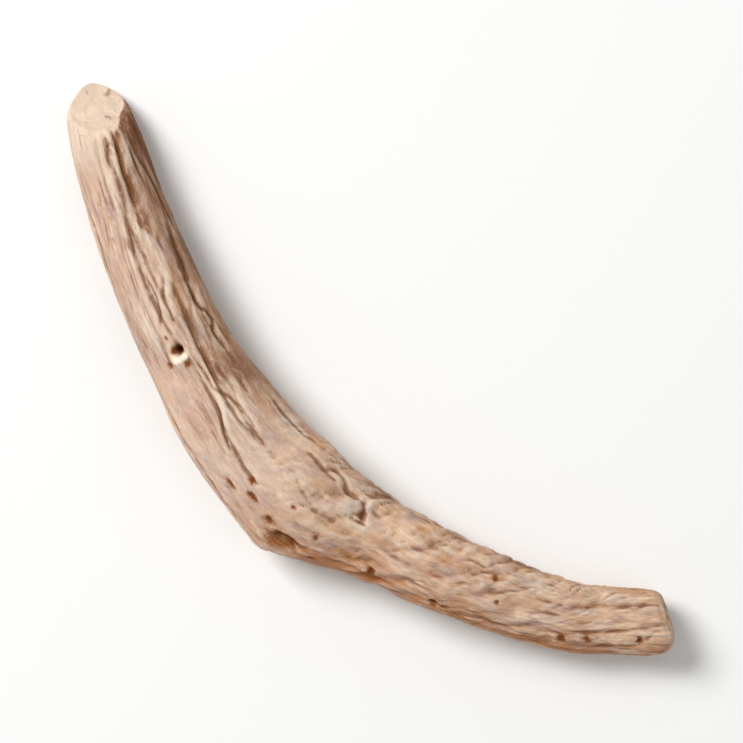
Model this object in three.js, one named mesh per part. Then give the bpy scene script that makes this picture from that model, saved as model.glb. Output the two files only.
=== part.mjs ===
// A dried, cut length of dipsacus root that lies on its side: one curved, furrowed, slightly swollen piece.
// Millimetres, +Z up. X runs along the straight line from the pale, slanting cut to the far cut.
import * as THREE from "three";
import { mergeVertices } from "three/addons/utils/BufferGeometryUtils.js";

const { DEG2RAD, clamp, smoothstep } = THREE.MathUtils;

// Driving dimensions
const CHORD = 90; // straight line between the middles of the two cuts
const SWELLING = 13.6; // width of the root at its widest place
const FLATNESS = 0.9; // height over width

// The bend seen from above, as parts of CHORD. It runs on a little past both cuts.
const CENTRELINE = [
  [-0.029, 0.011],
  [0.073, -0.052],
  [0.19, -0.113],
  [0.311, -0.163],
  [0.439, -0.196],
  [0.548, -0.203],
  [0.654, -0.178],
  [0.779, -0.138],
  [0.898, -0.083],
  [0.967, -0.029],
  [1.042, 0.04],
];

// Stations are percent of the centreline's length. Angles are in degrees round the root:
// 0 is the hollow side of the bend, 90 the top, 180 the outer side and 270 the underside.
const PALE_CUT = 5.4;
const FAR_CUT = 95.2;

// Knots of [station, width as part of SWELLING]
const WIDTHS = [
  [0, 0.41],
  [4, 0.485],
  [7, 0.55],
  [10, 0.595],
  [17.5, 0.645],
  [25, 0.69],
  [32, 0.725],
  [36, 0.765],
  [41, 0.87],
  [47, 0.945],
  [52, 0.975],
  [57, 0.86],
  [61, 0.745],
  [69, 0.695],
  [77, 0.625],
  [84, 0.59],
  [95, 0.555],
  [100, 0.55],
];

// Knots of [station, height of the underside over the surface, in millimetres].
// Where it is below 0, the underside is flat and carries the root.
const CLEARANCES = [
  [0, 0],
  [11, -0.35],
  [22, 0.15],
  [31, 0.8],
  [42, 0.3],
  [51, -0.55],
  [60, 0.25],
  [70, 0.9],
  [80, 0.3],
  [88, -0.3],
  [100, 0.5],
];

// How far each cut leans along the root, per millimetre up and per millimetre towards the hollow side.
// A ring is sunk between the bark and the wood. A corner is worn off, or sticks out if its depth is below 0.
// Both depths are in millimetres.
const PALE_CUT_LEAN = { into: 1, up: 1.05, side: 0.08, reach: 15, ring: 0.2, corner: -1.0, bearing: 262 };
const FAR_CUT_LEAN = { into: -1, up: 0.14, side: 0.3, reach: 7, ring: 0.35, corner: 3.3, bearing: 186 };
const SUNK_RING = { part: 0.68, wide: 0.2 };
const CORNER_WIDTH = 38; // degrees

// Uneven cross-section: [lobes, strength, angle, turn per station]
const LOBES = [
  [2, 0.022, 35, 0.9],
  [3, 0.03, 190, -1.4],
  [4, 0.018, 300, 2.2],
];

// Furrows that run the whole length, three mesh columns to a furrow
const FURROWS = 16;
const COLUMNS_PER_FURROW = 3;
const COLUMNS = FURROWS * COLUMNS_PER_FURROW;
const FIRST_FURROW = 8; // angle
const FURROW_SHAPE = [-1, 0.2, 0]; // valley, crest, far slope
// Knots of [station, depth as part of the radius]
const FURROW_DEPTHS = [
  [0, 0.03],
  [6, 0.05],
  [12, 0.09],
  [30, 0.1],
  [42, 0.07],
  [52, 0.045],
  [62, 0.04],
  [80, 0.05],
  [88, 0.065],
  [100, 0.06],
];
// How furrows deepen and fade along the root: the parts of their depth, the radians by which each lags the
// last, and the lengths of their waves in stations per radian, which differ from furrow to furrow
const FURROW_RHYTHM = { mean: 0.75, swing: 0.55, lag: 2.4, shortest: 3.1, longer: 0.7, lengths: 5 };
// How the furrows wander round the root: [whole turns, angle, stations per wave]
const WANDERINGS = [
  [2, 4, 41],
  [-3, 2.5, 23],
];

// Slanting wrinkles between the swelling and the far cut, bent into bows and strongest in patches
const WRINKLES = { from: 50, to: 86, fade: 8, depth: 0.065, spacing: 5.6, slant: 7 };
const WRINKLE_BOWS = { turns: 3, strength: 1.6, stations: 3.7 };
const WRINKLE_PATCHES = { turns: 2, mean: 0.55, swing: 0.45, stations: 2.9 };

// Lumps and hollows: [station, angle, length in stations, width in degrees, rise as part of the radius]
const SIDE_ROOT_STUMP = [
  [53.4, 172, 2.6, 30, 0.11],
  [52.5, 188, 1.6, 22, 0.045],
  [54.3, 147, 1.4, 9, -0.16],
];
const ROOTLET_KNOTS = [
  [34.1, 109, 1.1, 9, 0.13],
  [32.9, 102, 0.9, 7, -0.26],
  [58.4, 71, 0.9, 9, 0.06],
  [59.7, 70, 0.6, 8, -0.09],
  [25.5, 312, 1.6, 13, 0.1],
  [25.1, 306, 0.8, 7, -0.15],
  [67.5, 222, 1.5, 14, 0.09],
  [68.1, 228, 0.8, 8, -0.13],
];
const PITS = [
  [31.3, 111, 0.6, 5, -0.07],
  [48.3, 116, 0.8, 6, -0.11],
  [49.4, 128, 0.8, 6, -0.11],
  [52.0, 136, 0.8, 6, -0.1],
  [56.3, 123, 0.7, 6, -0.09],
  [63.0, 142, 0.9, 8, -0.13],
  [70.3, 143, 0.9, 8, -0.13],
  [75.1, 56, 1.1, 9, -0.08],
  [76.0, 103, 0.8, 7, -0.12],
  [84.0, 130, 0.9, 8, -0.12],
  [91.7, 119, 0.8, 8, -0.12],
  [38.6, 338, 0.9, 8, -0.12],
  [80.2, 318, 0.9, 9, -0.12],
];
const HOLLOWS = [
  [14, 152, 9, 26, -0.045],
  [45, 20, 8, 24, -0.05],
  [66, 30, 6, 28, -0.05],
  [88.7, 160, 1.0, 26, -0.08],
  [70, 205, 8, 25, -0.05],
  [30, 210, 8, 26, -0.05],
];

// Long grooves and cracks: [station and angle at one end, the same at the other, width in degrees, rise]
const GROOVES = [
  [5.5, 24, 17, 12, 13, -0.14],
  [8.6, 74, 19, 78, 6, -0.11],
  [9.2, 86, 16.5, 92, 5, -0.07],
  [18.5, 99, 28, 88, 6, -0.09],
  [17, 32, 25.5, 41, 6, -0.08],
  [27, 47, 36, 44, 6, -0.09],
  [38.6, 95, 47.2, 112, 4.5, -0.12],
  [39.6, 87, 45, 101, 4, 0.03],
  [39.8, 76, 45.2, 79, 4.5, -0.08],
  [51.5, 51, 58.5, 56, 5, -0.09],
  [82, 74, 97, 48, 6, -0.08],
  [85, 113, 97, 88, 6, -0.09],
  [86, 136, 97, 124, 6, -0.07],
  [12, 236, 44, 262, 9, -0.11],
  [20, 322, 48, 300, 8, -0.11],
  [56, 318, 92, 292, 9, -0.1],
];
const GROOVE_END = 1.6; // stations over which a groove fades out

const RINGS = 88; // cross-sections between the cuts
const EDGE_ROUNDING = 1.2; // stations that a cut's worn, rounded edge takes up
const WORN_EDGE = 0.82; // part of the radius that is left at the cut itself
const EDGE_RINGS = 2;
const CUT_RINGS = [0.36, 0.68]; // rings on a cut face, as parts of the radius
const SAME_STATION = 1e-4; // stations closer than this are one place

const LENGTHWAYS = new THREE.CatmullRomCurve3(
  CENTRELINE.map(([x, y]) => new THREE.Vector3(x * CHORD, y * CHORD, 0)),
  false,
  "catmullrom",
);
const STATION_LENGTH = LENGTHWAYS.getLength() / 100;

// Smooth value at a station: a cubic between knots, with the mean slope at each knot
function through(knots, station) {
  const last = knots.length - 1;
  const above = knots.findIndex((knot) => knot[0] > station);
  const i = clamp(above < 0 ? last - 1 : above - 1, 0, last - 1);
  const slope = (k) => {
    const [before, after] = [knots[Math.max(k - 1, 0)], knots[Math.min(k + 1, last)]];
    return (after[1] - before[1]) / (after[0] - before[0]);
  };
  const gap = knots[i + 1][0] - knots[i][0];
  const t = clamp((station - knots[i][0]) / gap, 0, 1);
  const rest = 1 - t;
  return (
    knots[i][1] * rest * rest * (1 + 2 * t) +
    knots[i + 1][1] * t * t * (1 + 2 * rest) +
    slope(i) * gap * t * rest * rest -
    slope(i + 1) * gap * t * t * rest
  );
}

// Shortest way round from one angle to another, in degrees
function turnBetween(angle, other) {
  return THREE.MathUtils.euclideanModulo(angle - other + 180, 360) - 180;
}

function bell(distance) {
  return Math.exp(-distance * distance);
}

function halfWidth(station) {
  return (through(WIDTHS, station) * SWELLING) / 2;
}

function halfHeight(station) {
  return halfWidth(station) * FLATNESS;
}

// Angle of a mesh column, which follows the furrows as they wander
function columnAngle(column, station) {
  const straight = FIRST_FURROW + (column * 360) / COLUMNS;
  const wander = WANDERINGS.map(
    ([turns, swing, wave]) =>
      swing * Math.sin(turns * straight * DEG2RAD + (station / wave) * 2 * Math.PI),
  );
  return wander.reduce((angle, swing) => angle + swing, straight);
}

// Each furrow deepens and fades in its own rhythm along the root
function furrowRelief(column, station) {
  const { mean, swing, lag, shortest, longer, lengths } = FURROW_RHYTHM;
  const furrow = Math.floor(column / COLUMNS_PER_FURROW);
  const length = shortest + longer * (furrow % lengths);
  const fading = mean + swing * Math.sin(station / length + lag * furrow);
  return through(FURROW_DEPTHS, station) * fading * FURROW_SHAPE[column % COLUMNS_PER_FURROW];
}

// The cross-section isn't round: it has a few broad lobes, which turn slowly along the root
function lobeRelief(angle, station) {
  const lobes = LOBES.map(([count, strength, phase, turn]) =>
    strength * Math.cos((count * angle - phase - turn * station) * DEG2RAD),
  );
  return lobes.reduce((sum, lobe) => sum + lobe, 0);
}

// Slanting wrinkles, carved in only
function wrinkleRelief(angle, station) {
  const { from, to, fade, depth, spacing, slant } = WRINKLES;
  const present = smoothstep(station, from, from + fade) * (1 - smoothstep(station, to - fade, to));
  const turn = angle * DEG2RAD;
  const bow = WRINKLE_BOWS.strength * Math.sin(WRINKLE_BOWS.turns * turn + station / WRINKLE_BOWS.stations);
  const wave = Math.sin((station / spacing) * 2 * Math.PI + slant * turn + bow);
  const patch = Math.sin(WRINKLE_PATCHES.turns * turn - station / WRINKLE_PATCHES.stations);
  const patchy = WRINKLE_PATCHES.mean + WRINKLE_PATCHES.swing * patch;
  return -depth * present * patchy * (0.5 + 0.5 * wave);
}

// One lump or hollow
function spotRelief(angle, station, [at, bearing, long, wide, rise]) {
  return rise * bell((station - at) / long) * bell(turnBetween(angle, bearing) / wide);
}

// One long groove, crack or ridge
function grooveRelief(angle, station, [start, startAngle, end, endAngle, wide, rise]) {
  const along = clamp((station - start) / (end - start), 0, 1);
  const bearing = startAngle + (endAngle - startAngle) * along;
  const past = Math.max(start - station, station - end, 0);
  return rise * bell(past / GROOVE_END) * bell(turnBetween(angle, bearing) / wide);
}

// Radius over that of the plain oval, at a place on the skin
function relief(column, angle, station) {
  const spots = [...SIDE_ROOT_STUMP, ...ROOTLET_KNOTS, ...PITS, ...HOLLOWS];
  let sum = 1;
  sum += lobeRelief(angle, station);
  sum += furrowRelief(column, station);
  sum += wrinkleRelief(angle, station);
  spots.forEach((spot) => (sum += spotRelief(angle, station, spot)));
  GROOVES.forEach((groove) => (sum += grooveRelief(angle, station, groove)));
  return sum;
}

// Stations by which a cut moves a point along the root
function cutShift(cut, lean, blank) {
  const away = Math.abs(blank.station - cut);
  const near = 1 - smoothstep(away, 0, lean.reach);
  const slope = lean.up * blank.upwards + lean.side * blank.sideways;
  const corner = lean.corner * blank.part ** 4 * bell(turnBetween(blank.angle, lean.bearing) / CORNER_WIDTH);
  const onFace = away < SAME_STATION ? 1 : 0;
  const sunk = onFace * lean.ring * bell((blank.part - SUNK_RING.part) / SUNK_RING.wide);
  return (lean.into * (near * (slope + corner) + sunk)) / STATION_LENGTH;
}

// Radius over that of the plain oval, inside the root too: a cut face is more even than the bark
function swelling(column, angle, station, part) {
  return part * (1 + (relief(column, angle, station) - 1) * part * part);
}

// Place of a point across the root, towards the hollow side and up from the centreline
function across(column, angle, station, part) {
  const swell = swelling(column, angle, station, part);
  return {
    sideways: swell * halfWidth(station) * Math.cos(angle * DEG2RAD),
    upwards: swell * halfHeight(station) * Math.sin(angle * DEG2RAD),
  };
}

// Place of a point of the blank, given by its column, station and part of the radius
function placeInRoot(column, blankStation, part) {
  const blankAngle = columnAngle(column, blankStation);
  const slice = across(column, blankAngle, blankStation, part);
  const blank = { station: blankStation, angle: blankAngle, part, ...slice };
  const shift = cutShift(PALE_CUT, PALE_CUT_LEAN, blank) + cutShift(FAR_CUT, FAR_CUT_LEAN, blank);
  const station = clamp(blankStation + shift, 0, 100);
  const { sideways, upwards } = across(column, columnAngle(column, station), station, part);
  const centre = LENGTHWAYS.getPointAt(station / 100);
  const onward = LENGTHWAYS.getTangentAt(station / 100);
  const height = halfHeight(station) + through(CLEARANCES, station) + upwards;
  return new THREE.Vector3(
    centre.x - onward.y * sideways,
    centre.y + onward.x * sideways,
    Math.max(height, 0),
  );
}

// Part of the radius and stations from the cut of each ring of a quarter-round edge
function roundedEdge() {
  return Array.from({ length: EDGE_RINGS }, (_, ring) => {
    const turn = (ring / EDGE_RINGS) * (Math.PI / 2);
    return { part: WORN_EDGE + (1 - WORN_EDGE) * Math.sin(turn), step: EDGE_ROUNDING * (1 - Math.cos(turn)) };
  });
}

// The blank is a turned cylinder with rounded edges: x is the part of the radius, y the station
function blankProfile() {
  const profile = [new THREE.Vector2(0, PALE_CUT)];
  CUT_RINGS.forEach((part) => profile.push(new THREE.Vector2(part, PALE_CUT)));
  const edge = roundedEdge();
  edge.forEach(({ part, step }) => profile.push(new THREE.Vector2(part, PALE_CUT + step)));
  const first = PALE_CUT + EDGE_ROUNDING;
  const last = FAR_CUT - EDGE_ROUNDING;
  for (let ring = 0; ring < RINGS; ring += 1) {
    profile.push(new THREE.Vector2(1, first + ((last - first) * ring) / (RINGS - 1)));
  }
  edge.reverse().forEach(({ part, step }) => profile.push(new THREE.Vector2(part, FAR_CUT - step)));
  [...CUT_RINGS].reverse().forEach((part) => profile.push(new THREE.Vector2(part, FAR_CUT)));
  profile.push(new THREE.Vector2(0, FAR_CUT));
  return profile;
}

function rootGeometry() {
  const blank = new THREE.LatheGeometry(blankProfile(), COLUMNS);
  blank.deleteAttribute("normal");
  blank.deleteAttribute("uv");
  const points = blank.attributes.position;
  for (let i = 0; i < points.count; i += 1) {
    const part = Math.hypot(points.getX(i), points.getZ(i));
    const turn = Math.atan2(points.getX(i), points.getZ(i)) / (2 * Math.PI);
    const column = THREE.MathUtils.euclideanModulo(Math.round(turn * COLUMNS), COLUMNS);
    const place = placeInRoot(column, points.getY(i), part);
    points.setXYZ(i, place.x, place.y, place.z);
  }
  const root = mergeVertices(blank, 1e-4);
  root.computeBoundingBox();
  const middle = root.boundingBox.getCenter(new THREE.Vector3());
  root.translate(-middle.x, -middle.y, -root.boundingBox.min.z);
  root.computeVertexNormals();
  return root;
}

const bark = new THREE.MeshStandardMaterial({ color: 0xc4a286, roughness: 0.85, metalness: 0 });
const root = new THREE.Mesh(rootGeometry(), bark);
root.name = "root";

const dipsacusRoot = new THREE.Group();
dipsacusRoot.add(root);

export default dipsacusRoot;
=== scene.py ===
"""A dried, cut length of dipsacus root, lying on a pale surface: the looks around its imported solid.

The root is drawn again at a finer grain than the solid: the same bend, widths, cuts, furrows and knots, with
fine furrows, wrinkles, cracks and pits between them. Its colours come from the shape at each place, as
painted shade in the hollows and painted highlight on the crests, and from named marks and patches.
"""
import math

import bpy
import numpy as np
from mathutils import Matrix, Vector


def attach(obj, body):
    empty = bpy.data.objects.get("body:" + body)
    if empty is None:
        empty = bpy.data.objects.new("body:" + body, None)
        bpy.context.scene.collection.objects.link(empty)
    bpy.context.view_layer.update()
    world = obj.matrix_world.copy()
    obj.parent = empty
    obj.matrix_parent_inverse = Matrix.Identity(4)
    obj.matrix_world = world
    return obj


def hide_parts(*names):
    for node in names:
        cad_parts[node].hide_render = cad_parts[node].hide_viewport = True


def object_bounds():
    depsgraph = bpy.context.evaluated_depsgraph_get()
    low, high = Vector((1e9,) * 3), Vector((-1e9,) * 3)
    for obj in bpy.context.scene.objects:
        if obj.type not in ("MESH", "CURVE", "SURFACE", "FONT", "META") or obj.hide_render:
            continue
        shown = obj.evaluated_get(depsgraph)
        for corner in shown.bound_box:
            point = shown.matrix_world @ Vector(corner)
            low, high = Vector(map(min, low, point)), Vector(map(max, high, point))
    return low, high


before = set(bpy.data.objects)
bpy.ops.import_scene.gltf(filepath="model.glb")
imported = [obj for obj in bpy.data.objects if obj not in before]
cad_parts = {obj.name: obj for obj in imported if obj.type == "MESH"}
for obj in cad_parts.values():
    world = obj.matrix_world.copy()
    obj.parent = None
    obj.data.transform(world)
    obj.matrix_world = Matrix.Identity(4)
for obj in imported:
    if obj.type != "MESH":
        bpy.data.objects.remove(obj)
CAD_LOW, CAD_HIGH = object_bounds()

# Driving dimensions, from the frame
BOX_OVER_CHORD = 1.032  # length of the solid's box over the straight line between the middles of the cuts
CHORD = (CAD_HIGH.x - CAD_LOW.x) / BOX_OVER_CHORD
MM = CHORD / 90  # one of the root's millimetres, in metres
SWELLING = 13.6 * MM  # width of the root at its widest place
FLATNESS = 0.9  # height over width
TURN = 2 * math.pi

# The bend seen from above, as parts of CHORD. It runs on a little past both cuts.
CENTRELINE = [
    (-0.029, 0.011),
    (0.073, -0.052),
    (0.19, -0.113),
    (0.311, -0.163),
    (0.439, -0.196),
    (0.548, -0.203),
    (0.654, -0.178),
    (0.779, -0.138),
    (0.898, -0.083),
    (0.967, -0.029),
    (1.042, 0.04),
]

# Stations are percent of the centreline's length. Angles are in degrees round the root:
# 0 is the hollow side of the bend, 90 the top, 180 the outer side and 270 the underside.
PALE_CUT = 5.4
FAR_CUT = 95.2

# Knots of (station, width as part of SWELLING)
WIDTHS = [
    (0, 0.41),
    (4, 0.485),
    (7, 0.55),
    (10, 0.595),
    (17.5, 0.645),
    (25, 0.69),
    (32, 0.725),
    (36, 0.765),
    (41, 0.87),
    (47, 0.945),
    (52, 0.975),
    (57, 0.86),
    (61, 0.745),
    (69, 0.695),
    (77, 0.625),
    (84, 0.59),
    (95, 0.555),
    (100, 0.55),
]

# Knots of (station, height of the underside over the surface, in millimetres)
CLEARANCES = [
    (0, 0),
    (11, -0.35),
    (22, 0.15),
    (31, 0.8),
    (42, 0.3),
    (51, -0.55),
    (60, 0.25),
    (70, 0.9),
    (80, 0.3),
    (88, -0.3),
    (100, 0.5),
]

# How far each cut leans along the root, per millimetre up and per millimetre towards the hollow side.
# A ring is sunk between the bark and the wood. A corner is worn off, or sticks out if its depth is below 0.
# Both depths are in millimetres.
PALE_CUT_LEAN = dict(into=1, up=1.05, side=0.08, reach=15, ring=0.2, corner=-1.0, bearing=262)
FAR_CUT_LEAN = dict(into=-1, up=0.14, side=0.3, reach=7, ring=0.35, corner=3.3, bearing=186)
SUNK_RING = dict(part=0.68, wide=0.2)
CORNER_WIDTH = 38  # degrees
MIDDLE = 50  # station between the two halves

# Uneven cross-section: (lobes, strength, angle, turn per station)
LOBES = [
    (2, 0.022, 35, 0.9),
    (3, 0.03, 190, -1.4),
    (4, 0.018, 300, 2.2),
]

# The main furrows, as deep as knots of (station, depth as part of the radius) say
FURROWS = 16
FIRST_FURROW = 8
FURROW_DEPTHS = [
    (0, 0.03),
    (6, 0.05),
    (12, 0.09),
    (30, 0.1),
    (42, 0.07),
    (52, 0.045),
    (62, 0.04),
    (80, 0.05),
    (88, 0.065),
    (100, 0.06),
]
FURROW_RHYTHM = dict(mean=0.75, swing=0.55, lag=2.4, shortest=3.1, longer=0.7, lengths=5)
FURROW_CREST = 0.2  # height of a furrow's crest over its depth
CREST_PLACE = 1 / 3  # from the valley to the crest, as part of the spacing
FURROW_WIDTH = 0.15  # of a furrow's valley and crest, as part of the spacing
# How the furrows wander round the root: (whole turns, angle, stations per wave)
WANDERINGS = [
    (2, 4, 41),
    (-3, 2.5, 23),
]

# How plainly the main furrows show: at least, how much more where a noise is high, and what part of that the
# worn tip, the plain flank and the stretch past the swelling take away. The wobble is a part of the spacing.
FURROWS_SHOW = dict(least=0.1, more=0.75, worn=0.9, plain=0.7, past=0.5, wobble=0.55)
WORN_TIP = dict(starts=(72, 100), ends=(230, 270), stations=(8, 14))  # angles, then stations
PLAIN_FLANK = dict(bearing=132, wide=24, starts=(10, 20), ends=(44, 54))  # angles, then stations
PAST_SWELLING = (54, 62)

# Slanting wrinkles between the swelling and the far cut
WRINKLES = {"from": 50, "to": 86, "fade": 8, "depth": 0.065, "spacing": 5.6, "slant": 7}
WRINKLE_BOWS = dict(turns=3, strength=1.6, stations=3.7)
WRINKLE_PATCHES = dict(turns=2, mean=0.55, swing=0.45, stations=2.9)

# Lumps and hollows: (station, angle, length in stations, width in degrees, rise as part of the radius)
SIDE_ROOT_STUMP = [
    (53.4, 172, 2.6, 30, 0.11),
    (52.5, 188, 1.6, 22, 0.045),
    (54.3, 147, 1.4, 9, -0.16),
]
ROOTLET_KNOTS = [
    (34.1, 109, 1.1, 9, 0.13),
    (33.1, 102, 0.8, 7, -0.2),
    (59.7, 70, 0.6, 8, -0.09),
    (25.5, 312, 1.6, 13, 0.1),
    (25.1, 306, 0.8, 7, -0.15),
    (67.5, 222, 1.5, 14, 0.09),
    (68.1, 228, 0.8, 8, -0.13),
]
HOLLOWS = [
    (14, 152, 9, 26, -0.045),
    (45, 20, 8, 24, -0.05),
    (66, 30, 6, 28, -0.05),
    (88.7, 160, 1.0, 26, -0.08),
    (70, 205, 8, 25, -0.05),
    (30, 210, 8, 26, -0.05),
]

# Long grooves: (station and angle at one end, the same at the other, width in degrees, rise as part of the
# radius). The solid has them as wide as its facets. Here they have only part of that width and depth.
GROOVE_SHARPNESS = dict(width=0.62, depth=0.55)
GROOVES = [
    (5.5, 24, 17, 12, 13, -0.14),
    (8.6, 74, 19, 78, 6, -0.11),
    (9.2, 86, 16.5, 92, 5, -0.07),
    (18.5, 99, 28, 88, 6, -0.09),
    (17, 32, 25.5, 41, 6, -0.08),
    (27, 47, 36, 44, 6, -0.09),
    (38.6, 95, 47.2, 112, 4.5, -0.12),
    (39.6, 87, 45, 101, 4, 0.03),
    (39.8, 76, 45.2, 79, 4.5, -0.08),
    (51.5, 51, 58.5, 56, 5, -0.09),
    (82, 74, 97, 48, 6, -0.08),
    (85, 113, 97, 88, 6, -0.09),
    (86, 136, 97, 124, 6, -0.07),
    (12, 236, 44, 262, 9, -0.11),
    (20, 322, 48, 300, 8, -0.11),
    (56, 318, 92, 292, 9, -0.1),
]
GROOVE_END = 1.6  # stations over which a groove fades out

# Cracks and creases: width and depth in millimetres, how dark, then (station, angle) along each
CRACKS = [
    (0.3, 0.24, 0.95, [(8.9, 69), (10.1, 73), (12.4, 77), (14.6, 74), (16.7, 74)]),
    (0.26, 0.2, 0.85, [(9.2, 80), (10.1, 90), (11.6, 94), (12.9, 95)]),
    (0.3, 0.15, 0.5, [(8.3, 51), (9.7, 51), (12.1, 44), (13.9, 36), (15.8, 26)]),
    (0.18, 0.1, 0.5, [(12.7, 108), (14.2, 112), (16.1, 112), (17.6, 109)]),
    (0.18, 0.08, 0.35, [(12.9, 120), (15.0, 121), (16.5, 125)]),
    (0.28, 0.15, 0.6, [(18.6, 97), (19.3, 95), (20.2, 91), (21.4, 91), (22.9, 88), (24.2, 86)]),
    (0.18, 0.15, 0.7, [(24.9, 75), (25.9, 79), (26.8, 84), (27.7, 88), (29.5, 90), (30.5, 93)]),
    (0.18, 0.15, 0.7, [(24.4, 100), (26.0, 97), (27.5, 97), (28.7, 102), (29.9, 110), (30.5, 113)]),
    (0.35, 0.15, 0.55, [(20.4, 39), (22.3, 42), (24.2, 41), (25.1, 44)]),
    (0.18, 0.1, 0.4, [(20.4, 58), (21.9, 64), (23.2, 62)]),
    (0.24, 0.22, 0.9, [(27.6, 45), (29.0, 47), (29.9, 44), (30.8, 37), (31.8, 36), (32.9, 44), (34.9, 46)]),
    (0.2, 0.15, 0.7,
     [(34.6, 88), (36.8, 86), (38.3, 87), (39.4, 82), (40.6, 78), (41.7, 74), (43.0, 75), (45.1, 79)]),
    (0.2, 0.12, 0.6, [(36.6, 70), (37.6, 70), (38.7, 69)]),
    (0.2, 0.12, 0.6, [(38.7, 54), (39.6, 56), (40.6, 57)]),
    (0.2, 0.25, 1.0, [(39.1, 95), (41.1, 95), (42.1, 101), (43.0, 106), (43.9, 110), (45.3, 113)]),
    (0.26, 0.2, 0.75, [(53.8, 46), (54.7, 44), (55.7, 46), (56.6, 52), (57.5, 55), (58.2, 54)]),
    (0.28, 0.24, 1.0, [(59.3, 55), (59.6, 64), (59.8, 73), (60.0, 80)]),
    (0.2, 0.18, 0.9, [(58.9, 84), (60.0, 82), (60.8, 82)]),
    (0.18, 0.1, 0.4, [(51.3, 78), (53.0, 87), (54.2, 91), (55.3, 96)]),
    (0.4, 0.14, 0.35, [(68.9, 44), (68.0, 56), (67.5, 68), (66.5, 76), (65.4, 78)]),
    (0.28, 0.15, 0.5, [(71.5, 101), (72.2, 93), (73.0, 87), (73.7, 85)]),
    (0.3, 0.15, 0.4, [(79.5, 105), (80.7, 97), (81.6, 93), (83.1, 89), (84.2, 86), (85.4, 80)]),
    (0.35, 0.15, 0.45, [(82.0, 83), (83.5, 79), (85.0, 71), (86.5, 63), (87.6, 52)]),
    (0.3, 0.15, 0.45, [(75.0, 139), (77.9, 136), (79.0, 130), (80.3, 120), (81.2, 113)]),
    (0.25, 0.12, 0.5, [(90.0, 62), (91.0, 64), (91.9, 57), (92.8, 51)]),
    (0.2, 0.1, 0.4, [(87.8, 105), (89.1, 105), (90.4, 105)]),
    (0.2, 0.12, 0.45, [(92.1, 125), (93.2, 104), (94.2, 99), (94.9, 98)]),
    (0.2, 0.18, 0.7, [(14, 215), (20, 222), (24, 219), (29, 226)]),
    (0.2, 0.2, 0.8, [(36, 196), (40, 205), (43, 203), (47, 212)]),
    (0.2, 0.18, 0.7, [(47, 352), (51, 345), (55, 350), (58, 346)]),
    (0.2, 0.2, 0.8, [(70, 300), (75, 292), (79, 296), (83, 290)]),
]

CRACK_WAVER = 2.4  # degrees that a crack strays from its path
CRACK_TAPER = 5  # millimetres: a shorter crack tapers over its own length
# The low lip beside a crack: its place and width over the crack's width, its height over the crack's depth,
# and how pale it is over how dark the crack is
CRACK_LIP = dict(place=2.4, wide=1.1, rise=0.28, pale=0.6)

# Where the bark is torn: (station, angle, length in stations, width in degrees, depth in millimetres)
TORN_PLACES = [
    (54.3, 156, 2.2, 17, 0.3),
    (56.6, 82, 3.2, 20, 0.09),
]

# Small dark pits: (station, angle, length and width in millimetres, depth in millimetres)
DARK_PITS = [
    (33.1, 101, 0.48, 0.46, 1.2),
    (33.0, 109, 0.45, 0.45, 0.4),
    (31.4, 109, 0.25, 0.2, 0.12),
    (34.1, 124, 0.4, 0.3, 0.12),
    (34.9, 99, 0.32, 0.28, 0.15),
    (48.4, 113, 0.4, 0.36, 0.3),
    (49.5, 126, 0.6, 0.42, 0.3),
    (47.1, 137, 0.6, 0.35, 0.12),
    (52.1, 134, 0.5, 0.5, 0.35),
    (53.5, 143, 0.42, 0.8, 0.2),
    (55.1, 149, 0.6, 0.45, 0.2),
    (57.1, 158, 0.4, 0.2, 0.2),
    (56.6, 123, 0.38, 0.42, 0.28),
    (53.2, 104, 0.25, 0.18, 0.12),
    (63.2, 138, 0.5, 0.6, 0.4),
    (70.4, 141, 0.5, 0.55, 0.4),
    (75.4, 68, 0.35, 0.4, 0.15),
    (76.4, 101, 0.22, 0.32, 0.2),
    (84.0, 127, 0.5, 0.45, 0.35),
    (86.3, 119, 0.45, 0.4, 0.15),
    (91.8, 120, 0.34, 0.42, 0.32),
    (38.6, 338, 0.45, 0.3, 0.3),
    (80.2, 318, 0.45, 0.3, 0.3),
    (68.1, 228, 0.5, 0.35, 0.4),
    (25.1, 306, 0.5, 0.35, 0.4),
]

PIT_EDGE = (0.3, 1.5)  # where a pit's wall starts and ends, over the pit's size
PIT_RAGGED = dict(mean=1.12, swing=0.55)  # how uneven a pit's outline is
PIT_DARK = 0.6  # how dark the shallowest pit is
PIT_WARMTH = dict(strength=0.85, reach=1.7)  # the warm tint round a pit, over the pit's size

# Pale raised lips: width and height in millimetres, how pale, then (station, angle) along each. One whose
# paleness is BRIGHT is also nearly white: a pale lip with a painted highlight on it.
BRIGHT = 1.0
PALE_LIPS = [
    (0.4, 0.18, BRIGHT, [(33.6, 115), (34.0, 110), (34.1, 104), (33.95, 98), (33.5, 93.5)]),
    (0.4, 0.12, 0.7, [(9.6, 57), (11.6, 62), (13.5, 68)]),
    (0.3, 0.08, 0.6, [(13.3, 101), (15.6, 102), (17.6, 103)]),
    (0.4, 0.14, 0.8, [(19.5, 86), (21.0, 76), (22.5, 70), (24.4, 71), (26.0, 73), (27.7, 83), (29.3, 88)]),
    (0.3, 0.1, 0.7, [(38.5, 63), (39.8, 65), (41.1, 69), (42.4, 73), (44.3, 75)]),
    (0.33, 0.12, 0.8, [(39.8, 88), (40.6, 90), (41.7, 95), (42.8, 100), (43.9, 106), (44.7, 109)]),
    (0.25, 0.1, 0.6, [(53.6, 53), (55.2, 52), (56.5, 58)]),
    (0.45, 0.08, 0.8, [(57.4, 78), (58.7, 74)]),
]
LIP_TAPER = 2  # millimetres
LIP_SPREAD = 1.2  # reach of a lip over its width
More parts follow.
